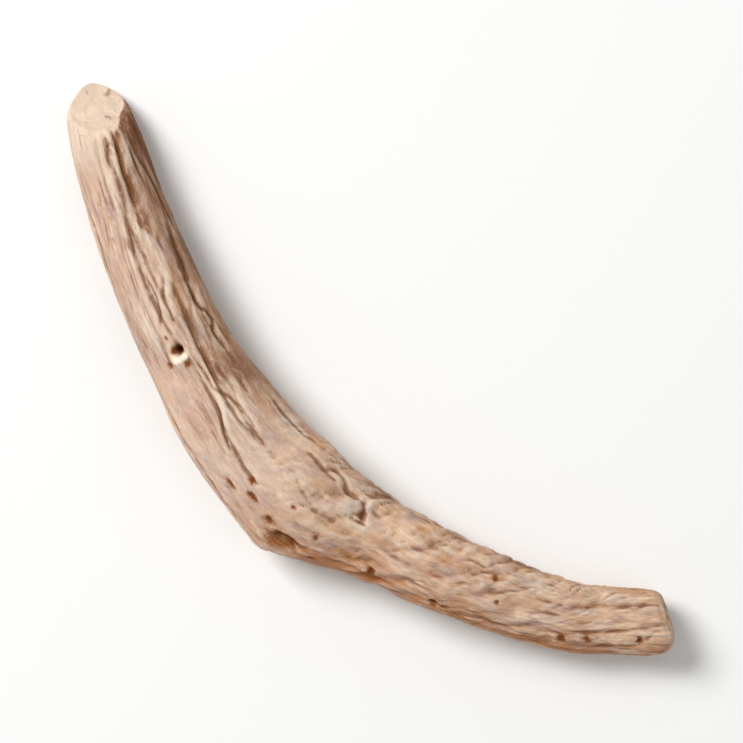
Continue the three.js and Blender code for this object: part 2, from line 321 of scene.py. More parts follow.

# Tinted patches: (station, angle, length in stations, width in degrees, strength)
# Most umber patches are brown stains. Those at stations 60.6 and 77.8, at the hollow edge, are painted shadow
# of neighbouring roots; the one at 9.5 is painted shade and stain together.
UMBER_PATCHES = [
    (9.5, 32, 4, 22, 0.85),
    (12.3, 92, 2.2, 8, 0.45),
    (15.2, 77, 3, 18, 0.85),
    (16, 110, 2.6, 7, 0.5),
    (18, 24, 3, 11, 0.6),
    (18.6, 72, 1.8, 12, 0.6),
    (23, 44, 4, 15, 0.7),
    (33.2, 56, 1.4, 13, 0.6),
    (36.4, 75, 2.7, 14, 0.9),
    (38.2, 44, 3.8, 24, 0.65),
    (60.6, 27, 2, 19, 0.8),
    (67.6, 62, 1.8, 8, 0.5),
    (69.4, 108, 1.1, 5, 0.5),
    (77.8, 20, 3, 16, 0.8),
    (90.4, 60, 1.6, 7, 0.5),
]
RUST_PATCHES = [
    (54.2, 150, 1.7, 11, 1.0),
    (63.3, 151, 1.2, 13, 1.0),
    (71.2, 142, 1.2, 6, 0.7),
    (84.6, 129, 1.2, 6, 0.6),
]
GOLD_PATCHES = [
    (60, 129, 1.3, 6, 0.9),
    (62.8, 108, 1.1, 5, 0.7),
    (66, 48, 0.9, 6, 0.7),
    (74.4, 133, 0.8, 5, 0.8),
    (75.2, 64, 0.6, 7, 0.8),
    (86, 92, 1.1, 7, 0.6),
    (86.3, 118, 0.8, 6, 0.8),
    (89.9, 84, 1.1, 6, 0.5),
]
LILAC_PATCHES = [
    (22.6, 64, 2.4, 8, 0.6),
    (16.8, 116, 2.4, 12, 0.6),
    (21.4, 103, 1.6, 8, 0.8),
    (31.8, 68, 2.2, 9, 0.9),
    (46, 70, 2, 9, 0.6),
    (58.3, 125, 0.5, 5, 0.9),
    (62, 119, 0.8, 6, 0.9),
    (64.6, 32, 0.9, 9, 0.8),
    (66.4, 77, 0.9, 6, 0.8),
    (80.9, 113, 0.9, 7, 1.0),
]
CREAM_PATCHES = [
    (47.5, 80, 8, 60, 0.45),
    (29.5, 127, 4, 11, 0.8),
    (42.4, 84, 2.6, 7, 0.6),
    (46, 128, 4, 12, 0.5),
    (46.5, 36, 2.5, 11, 0.9),
    (57.9, 77, 0.7, 7, 0.8),
    (79.8, 57, 2.6, 14, 0.8),
    (90.8, 148, 2.8, 14, 0.7),
]

PATCHES = dict(
    umber=UMBER_PATCHES, rust=RUST_PATCHES, gold=GOLD_PATCHES, lilac=LILAC_PATCHES, cream=CREAM_PATCHES,
)
FIRST_PATCH_SEED = 78

# Knots of (station, strength): how strongly the lengthwise cords and the crinkles, or worms, show
CORDS_SHOW = [
    (0, 0.3), (8, 0.8), (34, 0.9), (42, 0.5), (52, 0.2), (62, 0.15), (80, 0.2), (87, 0.4), (100, 0.4),
]
WORMS_SHOW = [(0, 0.1), (30, 0.25), (42, 0.4), (50, 0.65), (60, 1), (78, 1), (88, 0.85), (100, 0.75)]
# The same for the brown tint of the hollow side, which is painted shade and stain together, and for the grey
# tint
SHADE_SHOWS = [(0, 1), (14, 1), (17, 0.6), (20, 0.8), (25, 0.8), (28, 0.45), (34, 0.35), (38, 0.6), (44, 0)]
GREY_SHOWS = [(0, 0.1), (15, 0.5), (30, 0.7), (44, 0.5), (58, 0.6), (66, 1), (80, 1), (90, 0.6), (100, 0.5)]

# Heights of the fine relief, in millimetres. Puffs rise from below the skin.
FINE = dict(cords=0.06, slits=0.11, bands=0.13, puffs=0.6, below=0.14, flakes=0.04, swells=0.12, fibres=0.022)
SAW_MARKS = 0.16  # millimetres
FACE_PORES = 0.22  # millimetres
CREASE_REACH = 0.5  # noise value beyond which a crease rises no more

# Relief fades in from the cuts: over so many stations at the pale and at the far cut, from this part of it
RIM_FADES = (4, 1.5)
RIM_RELIEF = 0.15
WORN_FINE = 0.6  # part of the fine relief that the worn tip has lost

# Narrow and broad forms, for the colours: blur in rows and columns, and the height that counts as 1, in
# millimetres
NARROW_FORMS = dict(blur=(1.6, 3.5), full=0.1)
BROAD_FORMS = dict(blur=(6, 12), full=0.3)
BLUR_MARGIN = 4  # rows added at the ends before a blur, over the blur

# Mesh: rows along the root and columns round it
ROWS = 380
COLUMNS = 230
EDGE_ROWS = 7
FACE_ROWS = 16
EDGE_ROUNDING = 1.2
WORN_EDGE = 0.82
CUT_STEPS = 3  # times that the place of each point of a cut is worked out, each closer than the last

INSIDE_CAD = 0.9995  # size of the root over the solid's

# Noise is read on a cylinder of this radius in millimetres, so that it closes round the root
NOISE_RADIUS = 5.0
NOISE_TABLE = 256
NOISE_GAIN = 1.6  # brings the noise to about -1 to 1
SEED_STEP = 17.3  # how far apart two seeds are read


def through(knots, station):
    """Smooth value at each station: a cubic between knots, with the mean slope at each knot."""
    x, y = np.array(knots, float).T
    before = np.maximum(np.arange(len(x)) - 1, 0)
    after = np.minimum(np.arange(len(x)) + 1, len(x) - 1)
    slope = (y[after] - y[before]) / (x[after] - x[before])
    i = np.clip(np.searchsorted(x, station, side="right") - 1, 0, len(x) - 2)
    gap = x[i + 1] - x[i]
    t = np.clip((station - x[i]) / gap, 0, 1)
    rest = 1 - t
    ends = y[i] * rest**2 * (1 + 2 * t) + y[i + 1] * t**2 * (1 + 2 * rest)
    return ends + gap * t * rest * (slope[i] * rest - slope[i + 1] * t)


def turn_between(angle, other):
    """Shortest way round from one angle to another, in degrees."""
    return (angle - other + 180) % 360 - 180


def bell(distance):
    return np.exp(-(distance**2))


def smoothstep(value, low, high):
    t = np.clip((value - low) / (high - low), 0, 1)
    return t * t * (3 - 2 * t)


def bent_line(points, steps=200):
    """Points along a Catmull-Rom curve, with the length up to each."""
    p = np.array(points, float)
    p = np.vstack([2 * p[0] - p[1], p, 2 * p[-1] - p[-2]])
    t = np.linspace(0, 1, steps, endpoint=False)[:, None]
    pieces = []
    for p0, p1, p2, p3 in zip(p[:-3], p[1:-2], p[2:-1], p[3:]):
        v0 = (p2 - p0) / 2
        v1 = (p3 - p1) / 2
        cubic = 2 * p1 - 2 * p2 + v0 + v1
        square = 3 * p2 - 3 * p1 - 2 * v0 - v1
        pieces.append(cubic * t**3 + square * t**2 + v0 * t + p1)
    line = np.vstack([*pieces, p[-2:-1]])
    lengths = np.concatenate([[0], np.cumsum(np.hypot(*np.diff(line, axis=0).T))])
    return line, lengths


LINE, LENGTHS = bent_line(np.array(CENTRELINE) * CHORD)
STATION_LENGTH = LENGTHS[-1] / 100


def on_line(station):
    """Place and direction of the centreline at each station, seen from above."""
    length = station * STATION_LENGTH
    slopes = np.gradient(LINE, LENGTHS, axis=0)
    x, y, dx, dy = (np.interp(length, LENGTHS, value) for value in (*LINE.T, *slopes.T))
    size = np.hypot(dx, dy)
    return x, y, dx / size, dy / size


def half_width(station):
    return through(WIDTHS, station) * SWELLING / 2


def column_angle(column, station):
    """Angle of a mesh column, which follows the furrows as they wander. A column is a part of a turn."""
    straight = FIRST_FURROW + 360 * column
    angle = straight + 0 * station
    for turns, swing, wave in WANDERINGS:
        angle = angle + swing * np.sin(np.radians(turns * straight) + TURN * station / wave)
    return angle


def furrow_relief(column, station, wobble=0.0):
    """The main furrows: a narrow valley and a low crest beside it. The wobble is a part of their spacing."""
    place = column * FURROWS + wobble
    fading = []
    for furrow in range(FURROWS):
        length = FURROW_RHYTHM["shortest"] + FURROW_RHYTHM["longer"] * (furrow % FURROW_RHYTHM["lengths"])
        wave = np.sin(station / length + FURROW_RHYTHM["lag"] * furrow)
        fading.append(FURROW_RHYTHM["mean"] + FURROW_RHYTHM["swing"] * wave)
    fading = np.array(fading)
    relief = 0 * station
    for furrow in range(FURROWS):
        away = (place - furrow + FURROWS / 2) % FURROWS - FURROWS / 2
        shape = FURROW_CREST * bell((away - CREST_PLACE) / FURROW_WIDTH) - bell(away / FURROW_WIDTH)
        relief = relief + shape * fading[furrow]
    return relief * through(FURROW_DEPTHS, station)


def lobe_relief(angle, station):
    return sum(k * np.cos(np.radians(n * angle - phase - turn * station)) for n, k, phase, turn in LOBES)


def wrinkle_relief(angle, station):
    start, end, fade = WRINKLES["from"], WRINKLES["to"], WRINKLES["fade"]
    present = smoothstep(station, start, start + fade) * (1 - smoothstep(station, end - fade, end))
    turn = np.radians(angle)
    bow = WRINKLE_BOWS["strength"] * np.sin(WRINKLE_BOWS["turns"] * turn + station / WRINKLE_BOWS["stations"])
    wave = np.sin(TURN * station / WRINKLES["spacing"] + WRINKLES["slant"] * turn + bow)
    patch = np.sin(WRINKLE_PATCHES["turns"] * turn - station / WRINKLE_PATCHES["stations"])
    patchy = WRINKLE_PATCHES["mean"] + WRINKLE_PATCHES["swing"] * patch
    return -WRINKLES["depth"] * present * patchy * (0.5 + 0.5 * wave)


def spot(angle, station, at, bearing, long, wide):
    """1 at the middle of a spot, fading to 0 round it."""
    return bell((station - at) / long) * bell(turn_between(angle, bearing) / wide)


def stroke(angle, station, start, start_angle, end, end_angle, wide):
    """1 along a line from one place to another, fading to 0 beside it."""
    wide = wide * GROOVE_SHARPNESS["width"]
    along = np.clip((station - start) / (end - start), 0, 1)
    bearing = start_angle + (end_angle - start_angle) * along
    past = np.maximum(np.maximum(start - station, station - end), 0)
    return bell(past / GROOVE_END) * bell(turn_between(angle, bearing) / wide)


def worn_tip(angle, station):
    """1 on the outer side beside the pale cut, where the bark is worn off, fading to 0."""
    outer = smoothstep(angle, *WORN_TIP["starts"]) * (1 - smoothstep(angle, *WORN_TIP["ends"]))
    return outer * (1 - smoothstep(station, *WORN_TIP["stations"]))


def plain_flank(angle, station):
    """1 on the outer side of the upper stretch, where few furrows show, fading to 0."""
    flank = bell(turn_between(angle, PLAIN_FLANK["bearing"]) / PLAIN_FLANK["wide"])
    ends = 1 - smoothstep(station, *PLAIN_FLANK["ends"])
    return flank * smoothstep(station, *PLAIN_FLANK["starts"]) * ends


def main_relief(skin, column, angle, station, smooth_rim):
    """The forms that the solid has too, as parts of the radius."""
    relief = lobe_relief(angle, station)
    show = FURROWS_SHOW
    present = show["least"] + show["more"] * smoothstep(skin.noise(2, 10, 2.4), -0.35, 0.35)
    present = present * (1 - show["worn"] * worn_tip(angle, station)) * smooth_rim
    past_swelling = smoothstep(station, *PAST_SWELLING)
    present = present * (1 - show["plain"] * plain_flank(angle, station)) * (1 - show["past"] * past_swelling)
    wobble = show["wobble"] * skin.noise(1, 12, 3.4)
    relief = relief + present * furrow_relief(column, station, wobble)
    relief = relief + wrinkle_relief(angle, station)
    for *place, rise in SIDE_ROOT_STUMP + ROOTLET_KNOTS + HOLLOWS:
        relief = relief + rise * spot(angle, station, *place)
    for *place, rise in GROOVES:
        relief = relief + GROOVE_SHARPNESS["depth"] * rise * stroke(angle, station, *place)
    return relief


def noise(x, y, z, seed):
    """Smooth noise from about -1 to 1, with swells one unit across. A seed always gives the same noise."""
    rng = np.random.default_rng(seed)
    order = np.tile(rng.permutation(NOISE_TABLE), 3)
    slopes = rng.normal(size=(NOISE_TABLE, 3))
    slopes /= np.linalg.norm(slopes, axis=1)[:, None]
    cells = [np.floor(v).astype(int) for v in (x, y, z)]
    inside = [v - c for v, c in zip((x, y, z), cells)]
    i, j, k = (c % NOISE_TABLE for c in cells)
    u, v, w = (t**3 * (t * (6 * t - 15) + 10) for t in inside)
    total = 0
    for a in (0, 1):
        for b in (0, 1):
            for c in (0, 1):
                slope = slopes[order[order[order[i + a] + j + b] + k + c]]
                corner = slope[..., 0] * (inside[0] - a)
                corner = corner + slope[..., 1] * (inside[1] - b)
                corner = corner + slope[..., 2] * (inside[2] - c)
                weight = (u if a else 1 - u) * (v if b else 1 - v) * (w if c else 1 - w)
                total = total + corner * weight
    return total * NOISE_GAIN


class Skin:
    """Places on the root's skin in millimetres along and round it, for reading noise."""

    def __init__(self, column, station):
        self.along = station * STATION_LENGTH / MM
        self.turn = TURN * column + 0 * station

    def noise(self, seed, long, wide, slant=0.0, warp=0.0):
        """Noise whose swells are long by wide millimetres, turned by slant radians a millimetre."""
        turn = self.turn + slant * self.along + warp / NOISE_RADIUS
        reach = NOISE_RADIUS / wide
        return noise(self.along / long, reach * np.cos(turn), reach * np.sin(turn) + SEED_STEP * seed, seed)


def away_from_path(angle, station, path):
    """Millimetres from each place to a path of (station, angle) and to its nearer end, and its length."""
    radius = half_width(station) / MM
    step = STATION_LENGTH / MM
    nearest = np.inf
    length = 0
    for (start, start_angle), (end, end_angle) in zip(path, path[1:]):
        x = (station - start) * step
        y = np.radians(turn_between(angle, start_angle)) * radius
        long = (end - start) * step
        wide = np.radians(turn_between(end_angle, start_angle)) * radius
        along = np.clip((x * long + y * wide) / (long**2 + wide**2), 0, 1)
        nearest = np.minimum(nearest, np.hypot(x - along * long, y - along * wide))
        length = length + np.hypot(long, wide)
    ends = [
        np.hypot((station - at) * step, np.radians(turn_between(angle, bearing)) * radius)
        for at, bearing in (path[0], path[-1])
    ]
    return nearest, np.minimum(*ends), length


def crack_marks(skin, angle, station):
    """Millimetres of relief of the named cracks and pits, and from 0 to 1 how plainly each of these shows:
    the cracks, the pits, the warm tint round the pits and the pale crests beside the cracks."""
    waver = angle + CRACK_WAVER * skin.noise(90, 2.2, 1.5)
    ragged = PIT_RAGGED["mean"] + PIT_RAGGED["swing"] * skin.noise(92, 0.8, 0.5)
    relief = 0 * angle
    cracked = 0 * angle
    dark = 0 * angle
    warm = 0 * angle
    pale = 0 * angle
    for width, depth, shade, path in CRACKS:
        away, to_end, length = away_from_path(waver, station, path)
        taper = smoothstep(to_end / np.minimum(length, CRACK_TAPER), -0.1, 0.3)
        line = bell(away / width) * taper
        lip = bell((away - CRACK_LIP["place"] * width) / (CRACK_LIP["wide"] * width)) * taper
        relief = relief - depth * line + CRACK_LIP["rise"] * depth * lip
        cracked = np.maximum(cracked, shade * line)
        pale = np.maximum(pale, CRACK_LIP["pale"] * shade * lip)
    for at, bearing, long, wide, depth in DARK_PITS:
        x = (station - at) * STATION_LENGTH / MM / long
        y = np.radians(turn_between(angle, bearing)) * half_width(station) / MM / wide
        away = np.hypot(x, y) * ragged
        pit = 1 - smoothstep(away, *PIT_EDGE)
        relief = relief - depth * pit
        dark = np.maximum(dark, min(1, PIT_DARK + depth) * pit)
        warm = np.maximum(warm, PIT_WARMTH["strength"] * bell(away / PIT_WARMTH["reach"]))
    return relief, cracked, dark, warm, pale


def lip_marks(angle, station):
    """Millimetres of relief of the pale lips, and from 0 to 1 how pale and how bright they are."""
    relief = 0 * angle
    pale = 0 * angle
    bright = 0 * angle
    for width, height, shade, path in PALE_LIPS:
        away, to_end, length = away_from_path(angle, station, path)
        taper = smoothstep(to_end / np.minimum(length, LIP_TAPER), -0.25, 0.4)
        lip = bell((away / (LIP_SPREAD * width)) ** 2) * taper
        relief = relief + height * lip
        pale = np.maximum(pale, shade * lip)
        bright = np.maximum(bright, lip * (shade == BRIGHT))
    return relief, pale, bright


def rounded_creases(noise, rounding):
    """0 along the lines where a noise is 0, rising to either side, with rounded bottoms."""
    return np.minimum(np.hypot(noise, rounding), CREASE_REACH) - rounding


def fine_relief(skin, angle, station):
    """Millimetres of relief that is finer than the solid's, and how plainly slits show, from 0 to 1."""
    cords_show = through(CORDS_SHOW, station)
    worms_show = through(WORMS_SHOW, station)

    bend = 0.7 * skin.noise(10, 8, 2.6)
    cords = bell(skin.noise(11, 11, 1.1, warp=bend) / 0.3)
    broken = smoothstep(skin.noise(14, 6, 1.6), -0.2, 0.4)
    slits = bell(skin.noise(12, 9, 1.1, warp=bend) / 0.14) * broken
    bands = skin.noise(13, 13, 2.4, warp=bend)
    relief = cords_show * (FINE["cords"] * cords - FINE["slits"] * slits + FINE["bands"] * bands)

    curl = 0.8 * skin.noise(40, 3.2, 2.2)
    slanting = rounded_creases(skin.noise(41, 3.0, 1.25, slant=0.16, warp=curl), 0.13)
    lengthwise = rounded_creases(skin.noise(42, 4.6, 1.0, slant=0.02, warp=curl), 0.13)
    outer = smoothstep(angle, 85, 115) * (1 - smoothstep(angle, 290, 340))
    puffs = slanting * (1 - 0.7 * outer) + lengthwise * (0.45 + 0.5 * outer)
    puffs = puffs + 0.35 * rounded_creases(skin.noise(44, 1.5, 0.7, slant=0.1, warp=curl), 0.1)
    patchy = 0.45 + 0.55 * smoothstep(skin.noise(43, 4.5, 2.6), -0.4, 0.25)
    relief = relief + worms_show * patchy * (FINE["puffs"] * puffs - FINE["below"])

    flakes = skin.noise(50, 4.2, 1.5, warp=0.6 * skin.noise(51, 1.8, 1)) + 0.4 * skin.noise(52, 1.1, 0.6)
    relief = relief + FINE["flakes"] * smoothstep(flakes, -0.12, 0.12)
    uneven = skin.noise(56, 1.3, 0.8) + 0.5 * skin.noise(57, 0.6, 0.45)
    for *place, depth in TORN_PLACES:
        relief = relief + depth * spot(angle, station, *place) * uneven
    fibres = skin.noise(54, 3.5, 0.45) + 0.6 * skin.noise(55, 1.6, 0.35)
    relief = relief + FINE["swells"] * skin.noise(53, 7, 3.4) + FINE["fibres"] * fibres
    return relief, cords_show * slits


def patch_strength(skin, angle, station, patches, seed):
    """From 0 to 1, how strongly each place is tinted by the named patches. Their edges are ragged."""
    angle = angle + 7 * skin.noise(seed, 1.6, 0.9)
    station = station + 0.5 * skin.noise(seed + 1, 1.5, 0.8)
    strength = 0 * angle
    for *place, rise in patches:
        strength = np.maximum(strength, rise * spot(angle, station, *place))
    return strength


def blank_rows():
    """Station and part of the radius of each row, from the middle of one cut to the middle of the other."""
    face = np.linspace(0, WORN_EDGE, FACE_ROWS + 1)[1:]
    rounding = np.linspace(0, math.pi / 2, EDGE_ROWS + 1)[1:]
    edge_part = WORN_EDGE + (1 - WORN_EDGE) * np.sin(rounding)
    edge_step = EDGE_ROUNDING * (1 - np.cos(rounding))
    length = np.linspace(PALE_CUT + EDGE_ROUNDING, FAR_CUT - EDGE_ROUNDING, ROWS)[1:-1]
    stations = [np.full(FACE_ROWS, PALE_CUT), PALE_CUT + edge_step, length]
    stations += [FAR_CUT - edge_step[::-1], np.full(FACE_ROWS, FAR_CUT)]
    parts = [face, edge_part, np.ones(len(length)), edge_part[::-1], face[::-1]]
    return np.concatenate(stations)[:, None], np.concatenate(parts)[:, None]


def cut_shift(cut, lean, station, angle, part, sideways, upwards, on_face):
    """Stations by which a cut moves each point along the root."""
    near = 1 - smoothstep(np.abs(station - cut), 0, lean["reach"])
    slope = lean["up"] * upwards / MM + lean["side"] * sideways / MM
    corner = lean["corner"] * part**4 * bell(turn_between(angle, lean["bearing"]) / CORNER_WIDTH)
    sunk = on_face * lean["ring"] * bell((part - SUNK_RING["part"]) / SUNK_RING["wide"])
    return lean["into"] * (near * (slope + corner) + sunk) * MM / STATION_LENGTH


def face_relief(column, part):
    """Millimetres of relief on a cut face: soft saw marks and a few small pores."""
    x = part * np.cos(TURN * column)
    y = part * np.sin(TURN * column)
    swells = noise(1.6 * x, 2.4 * y, 0 * x, 61)
    pores = noise(3.4 * x, 3.4 * y, 0 * x, 62)
    return SAW_MARKS * swells - FACE_PORES * smoothstep(pores, 0.28, 0.55)


def across(angle, station, part, relief):
    """Sideways and upward distance from the centreline. A cut face is more even than the bark."""
    swell = part * (1 + relief * part**2)
    sideways = swell * half_width(station) * np.cos(np.radians(angle))
    upwards = swell * half_width(station) * FLATNESS * np.sin(np.radians(angle))
    return sideways, upwards


def blur(field, along, around):
    """The field smoothed over so many rows and columns. It closes round the root."""
    margin = int(BLUR_MARGIN * along)
    padded = np.pad(field, ((margin, margin), (0, 0)), mode="edge")
    rows = np.fft.fftfreq(padded.shape[0])[:, None]
    columns = np.fft.rfftfreq(padded.shape[1])[None]
    keep = np.exp(-2 * math.pi**2 * ((rows * along) ** 2 + (columns * around) ** 2))
    smooth = np.fft.irfft2(np.fft.rfft2(padded) * keep, s=padded.shape)
    return smooth[margin:-margin]


def held_at_rims(field):
    """The field with the values at the rims carried on over the cut faces, so that these stay even."""
    held = field.copy()
    rim = FACE_ROWS + EDGE_ROWS
    held[:rim] = field[rim]
    held[-rim:] = field[-rim - 1]
    return held


def all_relief(column, station, to_cut):
    """Relief as parts of the radius at each place of the bark, and what the fine relief is like there."""
    angle = column_angle(column, station)
    skin = Skin(column, station)
    fade = np.where(station < MIDDLE, *RIM_FADES)
    smooth_rim = RIM_RELIEF + (1 - RIM_RELIEF) * smoothstep(to_cut / fade, 0, 1)
    main = main_relief(skin, column, angle, station, smooth_rim)
    fine, slits = fine_relief(skin, angle, station)
    fine = fine * (1 - WORN_FINE * worn_tip(angle, station)) * smooth_rim
    cracks, line, dark, pit_warm, beside = crack_marks(skin, angle, station)
    lips, pale, bright = lip_marks(angle, station)
    fine = held_at_rims(fine + cracks + lips)
    main = held_at_rims(main)
    height = (main - held_at_rims(lobe_relief(angle, station))) * half_width(station) / MM + fine
    pale = np.maximum(pale, beside)
    marks = dict(slits=slits, dark=dark, line=line, warm=pit_warm, pale=pale, bright=bright)
    return skin, angle, main + fine * MM / half_width(station), height, marks


def root_points():
    """Every point of the root, row by row, and what each place is like."""
    column = (np.arange(COLUMNS) / COLUMNS)[None]
    blank, part = (rows + 0 * column for rows in blank_rows())
    on_pale_face = (blank <= PALE_CUT).astype(float)
    on_far_face = (blank >= FAR_CUT).astype(float)
    roughness = face_relief(column, part) * smoothstep(1 - part, 0, 0.3)
    rough_shift = roughness * (on_pale_face - on_far_face) * MM / STATION_LENGTH
    to_cut = np.minimum(blank - PALE_CUT, FAR_CUT - blank)

    station = blank
    for _ in range(CUT_STEPS):
        skin, angle, relief, height, marks = all_relief(column, station, to_cut)
        sideways, upwards = across(angle, station, part, relief)
        shift = cut_shift(PALE_CUT, PALE_CUT_LEAN, blank, angle, part, sideways, upwards, on_pale_face)
        shift = shift + cut_shift(FAR_CUT, FAR_CUT_LEAN, blank, angle, part, sideways, upwards, on_far_face)
        station = np.clip(blank + shift + rough_shift, 0, 100)

    x, y, dx, dy = on_line(station)
    z = half_width(station) * FLATNESS + through(CLEARANCES, station) * MM + upwards
    points = np.stack([x - dy * sideways, y + dx * sideways, np.maximum(z, 0)], axis=-1)

    looks = surface_looks(skin, angle, station, part, height, marks, roughness, to_cut)
    reach = NOISE_RADIUS * part
    grain = np.stack([skin.along, reach * np.cos(skin.turn), reach * np.sin(skin.turn)], axis=-1)
    return points, looks, grain


def cut_looks(angle, station, part, to_cut, on_face):
    """From 0 to 1, how pale and how stained each place of a cut is, and how strongly painted shade darkens
    the far rim.
    """
    far = station > MIDDLE
    sideways = part * np.cos(np.radians(angle))
    upwards = part * np.sin(np.radians(angle))
    stain_edge = 0.8 - 0.16 * (station - 6) + 0.1 * noise(3 * sideways, 3 * upwards, 0 * part, 63)
    stained = smoothstep(sideways - stain_edge, -0.06, 0.06) * on_face * ~far
    # Painted shade: a dark band round the rim of the far cut
    rim = far * bell((to_cut - 0.1) / 0.45) * smoothstep(part, 0.93, 0.99)
    return np.where(far, 0.3, 0.8) * on_face, stained, rim


def hollow_side_shade(skin, angle, station):
    """From 0 to 1, how brown the hollow side of the bend is: painted shade and brown stain together."""
    edge = 66 + 22 * skin.noise(73, 9, 3)
    above_hollow = turn_between(angle, 0)
    shade = smoothstep(edge + 18 - above_hollow, 0, 36) * smoothstep(above_hollow, -60, -15)
    return shade * through(SHADE_SHOWS, station)


def surface_looks(skin, angle, station, part, height, marks, roughness, to_cut):
    """What each place is like, from 0 to 1: these drive the colours. Height and roughness are in millimetres,
    and to_cut is in stations, 0 on a cut face."""
    narrow = (height - blur(height, *NARROW_FORMS["blur"])) / NARROW_FORMS["full"]
    broad = (height - blur(height, *BROAD_FORMS["blur"])) / BROAD_FORMS["full"]
    ragged = to_cut + 0.9 * skin.noise(74, 1.6, 1.1)
    on_bark = smoothstep(ragged, 0.2, 0.9) * smoothstep(to_cut, 0, 0.15)
    on_face = 1 - on_bark
    # Painted shade in the hollows of the bark and in the pores of the cut faces, and painted highlight on the
    # crests, from the shape of the relief
    hollow_shade = np.clip(-0.5 * narrow - 0.5 * broad - 0.1, 0, 1) * on_bark
    hollow_shade = hollow_shade + 0.6 * on_face * smoothstep(-roughness, 0.08, 0.25)
    crest_highlight = np.clip(0.45 * narrow + 0.4 * broad - 0.1, 0, 1) * on_bark

    worn = worn_tip(angle, station)
    face_pale, stained, rim = cut_looks(angle, station, part, to_cut, on_face)
    pale = np.maximum(np.maximum(0.8 * worn, marks["pale"] * on_bark), face_pale * (1 - stained))
    hollow_shade = hollow_shade * (1 - 0.6 * worn)
    outer_side = bell(turn_between(angle, 152) / 26) * smoothstep(station, 48, 58)
    cool = smoothstep(angle, 66, 98) * (1 - smoothstep(angle, 200, 240)) * (1 - smoothstep(station, 46, 60))
    # The hollow side's brown is painted shade and stain together
    shade = hollow_side_shade(skin, angle, station) * on_bark

    patches = skin.noise(70, 4.5, 1.5, warp=0.8 * skin.noise(71, 3, 2)) + 0.5 * skin.noise(72, 1.6, 0.7)
    grey = through(GREY_SHOWS, station) * smoothstep(patches - 0.2 * narrow, -0.1, 0.5) * (1 - pale)
    grey = grey * (1 - 0.8 * shade) * on_bark
    tints = {}
    for i, (name, table) in enumerate(PATCHES.items()):
        tints[name] = patch_strength(skin, angle, station, table, FIRST_PATCH_SEED + 2 * i) * on_bark
    rust = np.maximum(tints["rust"], marks["warm"] * on_bark) * (1 - pale)
    return dict(
        hollow_shade=hollow_shade, crest_highlight=crest_highlight, pale=pale, grey=grey, shade=shade, warm=outer_side * on_bark, rim=rim,
        umber=np.maximum(tints["umber"], stained), rust=rust,
        gold=tints["gold"], lilac=tints["lilac"], cream=tints["cream"], cool=cool * on_bark,
        dark=marks["dark"] * on_bark, cracked=marks["line"] * on_bark, bright=marks["bright"],
        slits=marks["slits"] * on_bark * (1 - 0.6 * worn),
        lined=through(CORDS_SHOW, station) * on_bark, crinkled=through(WORMS_SHOW, station) * on_bark,
    )


def fitted(points):
    """The points, scaled a little on each axis so that they fill the solid's box."""
    low = points.min(axis=(0, 1))
    high = points.max(axis=(0, 1))
    cad_low, cad_high = np.array(CAD_LOW), np.array(CAD_HIGH)
    scale = INSIDE_CAD * (cad_high - cad_low) / (high - low)
    base = np.array([*(low + high)[:2] / 2, low[2]])
    cad_base = np.array([*(cad_low + cad_high)[:2] / 2, cad_low[2]])
    return (points - base) * scale + cad_base


def root_mesh():
    points, looks, grain = root_points()
    points = fitted(points)
    rows, columns = points.shape[:2]
    vertices = np.concatenate([points.reshape(-1, 3), points[:1].mean(axis=1), points[-1:].mean(axis=1)])
    first, last = rows * columns, rows * columns + 1
    row, column = np.meshgrid(np.arange(rows - 1), np.arange(columns), indexing="ij")
    onward = (column + 1) % columns
    quads = np.stack([row * columns + column, (row + 1) * columns + column,
                      (row + 1) * columns + onward, row * columns + onward], axis=-1).reshape(-1, 4)
    around = np.arange(columns)
    turned = (around + 1) % columns
    start = np.stack([np.full(columns, first), around, turned], axis=-1)
    last_row = (rows - 1) * columns
    end = np.stack([np.full(columns, last), last_row + turned, last_row + around], axis=-1)
    mesh = bpy.data.meshes.new("root_bark")
    mesh.from_pydata(vertices.tolist(), [], quads.tolist() + start.tolist() + end.tolist())
    mesh.shade_smooth()
    for name, values in looks.items():
        ends = [values[0].mean(), values[-1].mean()]
        layer = mesh.attributes.new(name, "FLOAT", "POINT")
        layer.data.foreach_set("value", np.concatenate([values.ravel(), ends]).astype(np.float32))
    ends = [grain[0].mean(axis=0), grain[-1].mean(axis=0)]
    layer = mesh.attributes.new("grain", "FLOAT_VECTOR", "POINT")
    layer.data.foreach_set("vector", np.concatenate([grain.reshape(-1, 3), ends]).ravel().astype(np.float32))
    return mesh


